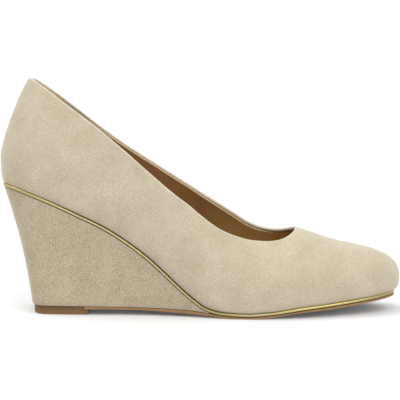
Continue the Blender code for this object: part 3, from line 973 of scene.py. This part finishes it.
def wedge_plan(level):
    """Plan outline of the wedge at a level, 0 at the feather line and 1 at its foot."""
    top = both_sides(wedge_shares())
    foot = np.vstack((wedge_foot_side(-1), wedge_foot_side(1)[::-1]))
    return top + (foot - top) * (level + WEDGE_HOLLOW * np.sin(np.pi * level))


def rounded(plan, face, soft, inwards):
    """Two rings that round off an edge, from a face of the piece towards its side."""
    part = soft * EDGE_TURN
    return [ring(inset(plan, soft), face), ring(inset(plan, part), face + inwards * part)]


def build_wedge():
    """Covered wedge with its suede turned softly round the lower and upper edges."""
    high, low = wedge_plan(0.0), wedge_plan(1.0)
    top = above_joint(high[:, 0], -SEAM_HEIGHT)
    foot = wedge_foot(low[:, 0])
    soft = np.minimum(WEDGE_ROUNDING, (top - foot) * THIN_SHARE)
    rings = rounded(low, foot, soft, 1)
    for level in np.linspace(1.0, 0.0, WEDGE_LEVELS):
        rings.append(ring(wedge_plan(level), foot + soft + (top - foot - soft * 2) * (1.0 - level)))
    rings += rounded(high, top, soft, -1)[::-1]
    cover = suede("wedge suede", WEDGE_LIGHT, WEDGE_DARK, patches=80.0, tufts=2900.0,
                  coarseness=8.5)
    return layered_piece("suede_wedge", rings, cover, WEDGE_CREASE)


wedge = build_wedge()
dress(wedge, "wedge")

# Outsole: a thin tan sole glued on last, from the toe to the step in the heel's top lift. Its edge
# is trimmed and polished, and a field of fine ribs is moulded under the ball and the toes.
SOLE_MARGIN = 0.5
SOLE_MARGIN_RAMP = 14.0
SOLE_BACK = 52.0
SOLE_WAIST_COLUMNS = 46
SOLE_ROUNDING = 0.3
SOLE_CREASE = 50.0
SPECKLE_RANGE = (0.7, 1.3)
TAN_LIGHT = (0.390, 0.220, 0.095, 1.0)
TAN_DARK = (0.280, 0.150, 0.060, 1.0)
# The sunk field between the ribs is darker: partly dirt, partly painted shade.
TAN_DIRT_AND_SHADE = (0.170, 0.088, 0.036, 1.0)
RIB_BORDER = 4.5
RIB_BORDER_SLOPE = 0.5
RIB_START = 131.0
RIB_FIELD_RAMP = 3.0
RIB_PITCH = 2.2
RIB_RADIUS = 0.5
RIB_DEPTH = 0.4
RIB_WALL_SLOPE = 0.5
RIB_SIDES = 10

TREAD = (
    Underside(50.0, 3.2),
    Underside(80.0, 3.2),
    Underside(105.0, 2.0),
    Underside(122.0, 1.2),
    Underside(136.0, 0.0),
    Underside(154.0, 0.0),
    Underside(170.0, 1.9),
    Underside(180.0, 3.2),
    Underside(198.0, 4.6),
    Underside(218.0, 6.8),
    Underside(238.0, 8.8),
)
tread = profile(TREAD)


def build_sole_speckle():
    """Moulded sole stuff: a fine speckle on slow clouds of lighter and darker brown."""
    tree, given = new_group("sole_speckle", {"Light": COLOUR, "Dark": COLOUR},
                            {"Colour": COLOUR, "Height": NUMBER, "Roughness": NUMBER})
    grain = noise(tree, scale=1300.0, detail=3.0)
    cloud = noise(tree, scale=90.0, detail=3.0)
    shade = ramp(tree, calculate(tree, "ADD", grain, cloud), *SPECKLE_RANGE)
    place(tree, "NodeGroupOutput", {"Colour": mix(tree, shade, given["Dark"], given["Light"]),
                                    "Height": grain,
                                    "Roughness": ramp(tree, cloud, 0.0, 1.0, low=0.45, high=0.65)})
    return tree


sole_speckle = build_sole_speckle()


def sole_stuff(name, light, dark, other, share):
    """Speckled sole stuff that takes another colour, by a share that a function finds."""
    material, tree, shader = new_material(name, Specular_IOR_Level=0.4)
    stuff = place(tree, "ShaderNodeGroup", {"Light": light, "Dark": dark},
                  node_tree=sole_speckle).outputs
    feed(tree, shader, {"Base Color": mix(tree, share(tree), stuff["Colour"], other),
                        "Roughness": stuff["Roughness"],
                        "Normal": bump(tree, stuff["Height"], strength=0.3, distance=0.0002)})
    return material


def dirt_and_shade_in_field(tree):
    """Share of the sunk field between the ribs, kept on the sole's points: darker, partly as dirt
    and partly as painted shade.
    """
    return place(tree, "ShaderNodeAttribute", attribute_name="field").outputs["Fac"]


def sole_plan():
    """Plan of the sole: the wedge's foot behind its tip, the feather line and a margin in front."""
    behind = np.linspace(SOLE_BACK, WEDGE_TIP, SOLE_WAIST_COLUMNS)
    outer = np.column_stack((behind, -foot_half_width(-1, behind)))
    inner = np.column_stack((behind, foot_half_width(1, behind)))
    front = both_sides(forefoot_shares())
    grown = np.clip((front[:, 0] - FOREFOOT_START) / SOLE_MARGIN_RAMP, 0.0, 1.0)
    return np.vstack((outer, inset(front, -SOLE_MARGIN * grown), inner[::-1]))


def build_outsole(plan, field, finish):
    """Thin sole with softened edges, sunk a little inside the field that takes the ribs."""
    station = plan[:, 0]
    top = np.where(station <= WEDGE_TIP, wedge_foot(station) - GAP,
                   above_joint(station, -PIPING_RADIUS - GAP))
    low = tread(station)
    soft = np.minimum(SOLE_ROUNDING, (top - low) * THIN_SHARE)
    front = np.clip((field[:, 0] - RIB_START) / RIB_FIELD_RAMP, 0.0, 1.0)
    floor_of_field = inset(field, np.minimum(RIB_DEPTH, soft) * RIB_WALL_SLOPE)
    rings = [ring(floor_of_field, tread(floor_of_field[:, 0]) + RIB_DEPTH * front),
             ring(field, tread(field[:, 0]))]
    rings += rounded(plan, low, soft, 1) + [ring(plan, low + soft), ring(plan, top - soft)]
    rings += rounded(plan, top, soft, -1)[::-1]
    sunk = np.zeros((len(rings), len(plan)))
    sunk[0] = front
    return layered_piece("tan_outsole", rings, finish, SOLE_CREASE, sunk)


def build_sole_ribs(field, finish):
    """Ribs straight across the sunk field, half buried in it and level with the sole round it."""
    half = len(field) // 2
    outer, inner = field[:half], field[half:][::-1]
    stations = np.arange(RIB_START + RIB_FIELD_RAMP, field[:, 0].max() - RIB_PITCH / 2, RIB_PITCH)
    level = tread(stations) + RIB_RADIUS
    ends = [np.column_stack((stations, np.interp(stations, side[:, 0], side[:, 1]), level))
            for side in (outer, inner)]
    count = len(stations)
    return build_cord("sole_ribs", np.vstack(ends), [(i, i + count) for i in range(count)],
                      RIB_RADIUS, RIB_SIDES, finish)


tan = sole_stuff("tan sole", TAN_LIGHT, TAN_DARK, TAN_DIRT_AND_SHADE, dirt_and_shade_in_field)
sole = sole_plan()
rib_border = np.clip((sole[:, 0] - SOLE_BACK) * RIB_BORDER_SLOPE, SOLE_ROUNDING * 2, RIB_BORDER)
rib_field = inset(sole, rib_border)
outsole = build_outsole(sole, rib_field, tan)
dress(outsole, "outsole")
sole_ribs = build_sole_ribs(rib_field, tan)
dress(sole_ribs)

# Top lift: a brown wearing piece nailed and glued under the back of the wedge. Its front is stepped
# to take the end of the outsole, and its back edge is rounded on the grinding wheel.
LIFT_INSET = 1.3
LIFT_STEP = 51.7
LIFT_FRONT = 54.2
LIFT_STEP_SLANT = 0.05
LIFT_STEP_CLEAR = 2.0
LIFT_ROUNDING = 0.2
LIFT_BACK_ROUNDING = 0.7
LIFT_BACK_LENGTH = 6.0
LIFT_LIGHT = (0.188, 0.094, 0.031, 1.0)
LIFT_DARK = (0.120, 0.058, 0.018, 1.0)
# The lift is painted paler towards the floor: painted shade under the wedge's overhang.
LIFT_PAINTED_LIGHT = (0.240, 0.125, 0.045, 1.0)
LIFT_PAINTED_LIGHT_HEIGHTS = (0.0045, 0.0005)

GroundEdge = namedtuple("GroundEdge", "inset height")
GROUND_EDGE = (
    GroundEdge(1.5, 0.0),
    GroundEdge(0.5, 0.25),
    GroundEdge(0.0, 0.8),
)


def painted_shade_under_wedge(tree):
    """Share of the lift's edge painted paler towards the floor: painted shade under the wedge."""
    height = place(tree, "ShaderNodeSeparateXYZ", {0: on_object(tree)}).outputs["Z"]
    return ramp(tree, height, *LIFT_PAINTED_LIGHT_HEIGHTS)


def build_top_lift():
    """Stepped lift with its ground edges softened."""
    foot = inset(wedge_plan(1.0), LIFT_INSET)
    outer = foot[:len(foot) // 2]
    outer = outer[outer[:, 0] < LIFT_STEP - LIFT_STEP_CLEAR]
    inner = foot[len(foot) // 2:][::-1][:len(outer)]
    step = np.array((LIFT_STEP - LIFT_STEP_SLANT, LIFT_STEP, LIFT_FRONT))
    front = {side: np.column_stack((step, side * (foot_half_width(side, step) - LIFT_INSET)))
             for side in (-1, 1)}
    plan = np.vstack((outer, front[-1], front[1][::-1], inner[::-1]))
    station = plan[:, 0]
    top = np.where(station < LIFT_STEP, wedge_foot(station), tread(station)) - GAP
    from_back = (station - FOOT_BACK - LIFT_INSET) / LIFT_BACK_LENGTH
    soft = LIFT_ROUNDING + LIFT_BACK_ROUNDING * np.clip(1.0 - from_back, 0.0, 1.0)
    rings = [ring(inset(plan, soft * edge.inset), soft * edge.height) for edge in GROUND_EDGE]
    rings += [ring(plan, top - LIFT_ROUNDING / 2), ring(inset(plan, LIFT_ROUNDING / 2), top)]
    brown = sole_stuff("brown lift", LIFT_LIGHT, LIFT_DARK, LIFT_PAINTED_LIGHT, painted_shade_under_wedge)
    return layered_piece("brown_top_lift", rings, brown)


top_lift = build_top_lift()
dress(top_lift, "top_lift")

# Studio: a plain white floor in even white light, with two soft lamps above, one in front and one
# behind the heel. The camera stands low on the shoe's outer side, as in the photograph.
FLOOR_REACH = 4.0
FLOOR_GLOW = (0.75, 0.92, 1.1, 1.0)
FLOOR_BOUNCE = 0.6
FLOOR_SEEN = 0.88
SKY_LIGHT = 0.82
SKY_SEEN = 1.05

floor_corners = [(x * FLOOR_REACH, y * FLOOR_REACH, 0.0)
                 for x, y in ((-1, -1), (1, -1), (1, 1), (-1, 1))]
floor_mesh = bpy.data.meshes.new("floor")
floor_mesh.from_pydata(floor_corners, [], [(0, 1, 2, 3)])
floor_paint, floor_tree, floor_shader = new_material(
    "white floor", Roughness=0.9, Specular_IOR_Level=0.1, Emission_Color=FLOOR_GLOW,
    Emission_Strength=0.06)
seen = place(floor_tree, "ShaderNodeLightPath").outputs["Is Camera Ray"]
shade = ramp(floor_tree, seen, 0.0, 1.0, low=FLOOR_BOUNCE, high=FLOOR_SEEN)
feed(floor_tree, floor_shader, {"Base Color": shade})
floor_mesh.materials.append(floor_paint)
floor = bpy.data.objects.new("floor", floor_mesh)
bpy.context.scene.collection.objects.link(floor)

world = bpy.data.worlds.new("studio")
world.use_nodes = True
sky = world.node_tree
seen = place(sky, "ShaderNodeLightPath").outputs["Is Camera Ray"]
backdrop = sky.nodes["Background"]
backdrop.inputs["Color"].default_value = (1.0, 1.0, 1.0, 1.0)
glow = ramp(sky, seen, 0.0, 1.0, low=SKY_LIGHT, high=SKY_SEEN)
feed(sky, backdrop, {"Strength": glow})
bpy.context.scene.world = world

Lamp = namedtuple("Lamp", "name place strength softness")
LAMPS = (
    Lamp("front", (0.35, -0.8, 0.6), 1.2, 80.0),
    Lamp("top", (-0.6, 0.2, 1.1), 0.9, 45.0),
)
for lamp in LAMPS:
    light = bpy.data.lights.new(lamp.name, "SUN")
    light.energy, light.angle = lamp.strength, np.radians(lamp.softness)
    holder = bpy.data.objects.new(lamp.name, light)
    holder.location = lamp.place
    holder.rotation_euler = holder.location.to_track_quat("Z", "Y").to_euler()
    bpy.context.scene.collection.objects.link(holder)

CAMERA_DISTANCE = 0.9
CAMERA_RISE = np.radians(5.6)
CAMERA_ROLL = np.radians(0.25)
CAMERA_TARGET = (-0.00057, 0.0657)
camera = bpy.data.objects.new("camera", bpy.data.cameras.new("camera"))
camera.data.lens = 135.0
camera.data.sensor_width = 36.0
camera.data.clip_start = 0.01
camera.location = (CAMERA_TARGET[0], -CAMERA_DISTANCE * np.cos(CAMERA_RISE),
                   CAMERA_TARGET[1] + CAMERA_DISTANCE * np.sin(CAMERA_RISE))
camera.rotation_euler = (Matrix.Rotation(np.pi / 2 - CAMERA_RISE, 3, "X")
                         @ Matrix.Rotation(CAMERA_ROLL, 3, "Z")).to_euler()
bpy.context.scene.collection.objects.link(camera)
bpy.context.scene.camera = camera
bpy.context.scene.view_settings.view_transform = "Standard"
